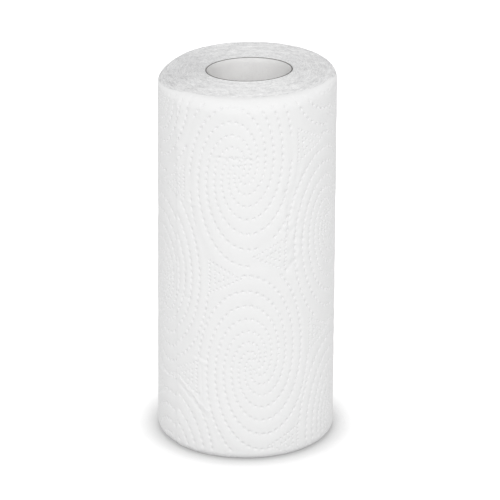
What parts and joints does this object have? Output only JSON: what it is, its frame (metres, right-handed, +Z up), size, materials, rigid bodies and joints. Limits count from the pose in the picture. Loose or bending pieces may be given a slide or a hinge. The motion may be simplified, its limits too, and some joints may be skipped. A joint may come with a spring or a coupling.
{
  "type": "paper towel roll",
  "caption": "Round roll of white embossed kitchen towel standing on its end, with soft rims, a loose outer edge and an oval card tube open from end to end.",
  "frame": {"origin": "under the middle of the roll, on the surface it stands on", "axes": "+Z up along the roll's axis; -Y faces the front, where the loose edge of the last sheet is on the left"},
  "size_m": [0.1035, 0.1039, 0.225],
  "materials": {
    "paper": "soft white embossed tissue paper, matte",
    "card": "pale spiral-wound paperboard, matte"
  },
  "bodies": {
    "root": {"towel_roll": "paper", "core": "card"}
  },
  "joints": []
}
